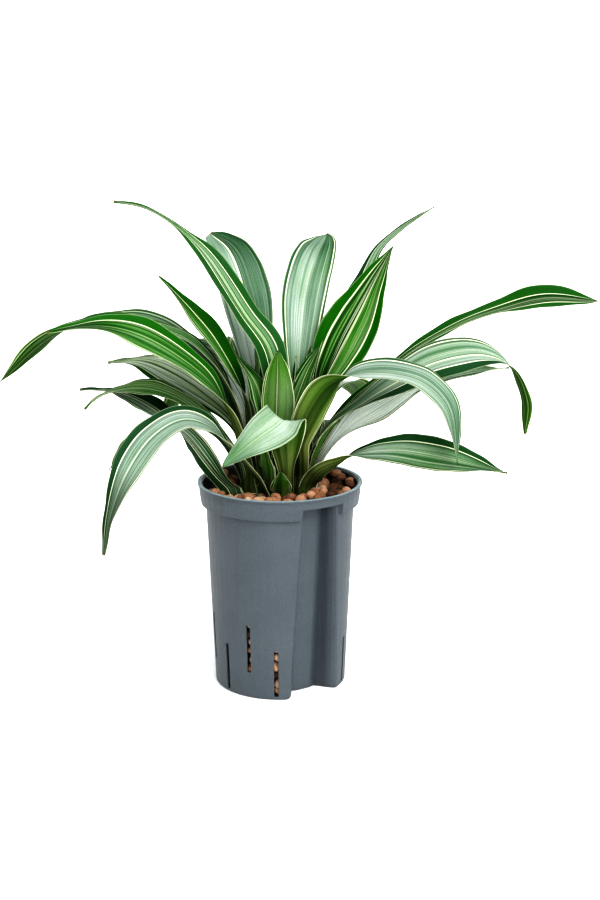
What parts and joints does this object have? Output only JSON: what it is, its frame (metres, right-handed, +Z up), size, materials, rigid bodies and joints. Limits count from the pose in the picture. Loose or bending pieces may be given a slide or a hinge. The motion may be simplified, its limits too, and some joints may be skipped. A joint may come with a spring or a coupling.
{
  "type": "potted dracaena",
  "caption": "Potted dracaena with arching white-striped leaves in a slotted hydroculture pot filled with clay pellets.",
  "frame": {"origin": "centre of the pot's flat base, on the surface it stands on", "axes": "+Z up along the pot's axis, -Y towards the viewer of the picture, +X to the viewer's right"},
  "size_m": [0.5506, 0.2809, 0.4416],
  "materials": {
    "anthracite_plastic": "matte, fine grained, dark blue-grey",
    "fired_clay": "dull, pitted, orange-brown pellets",
    "green_cane": "satin olive green",
    "striped_leaf": "satin green with lengthwise cream and grey-white stripes"
  },
  "bodies": {
    "root": {"clay_bed": "fired_clay", "leaf_centre_upright": "striped_leaf", "leaf_front_dark": "striped_leaf", "leaf_front_folded": "striped_leaf", "leaf_front_inner": "striped_leaf", "leaf_front_left_arch": "striped_leaf", "leaf_front_right_young": "striped_leaf", "leaf_front_rising": "striped_leaf", "leaf_front_scale": "striped_leaf", "leaf_front_young": "striped_leaf", "leaf_left_back_arch": "striped_leaf", "leaf_left_back_droop": "striped_leaf", "leaf_left_back_low": "striped_leaf", "leaf_left_bright": "striped_leaf", "leaf_left_broad": "striped_leaf", "leaf_left_dark": "striped_leaf", "leaf_left_hanging": "striped_leaf", "leaf_left_heart": "striped_leaf", "leaf_left_long": "striped_leaf", "leaf_left_low": "striped_leaf", "leaf_left_lower_curl": "striped_leaf", "leaf_left_pale": "striped_leaf", "leaf_left_short": "striped_leaf", "leaf_left_upright": "striped_leaf", "leaf_right_arching": "striped_leaf", "leaf_right_back_arch": "striped_leaf", "leaf_right_back_droop": "striped_leaf", "leaf_right_back_low": "striped_leaf", "leaf_right_behind": "striped_leaf", "leaf_right_heart": "striped_leaf", "leaf_right_hooked": "striped_leaf", "leaf_right_long": "striped_leaf", "leaf_right_low": "striped_leaf", "leaf_right_pale": "striped_leaf", "leaf_right_sliver": "striped_leaf", "leaf_right_upright": "striped_leaf", "pot": "anthracite_plastic", "stem_front": "green_cane", "stem_left": "green_cane", "stem_right": "green_cane"}
  },
  "joints": []
}
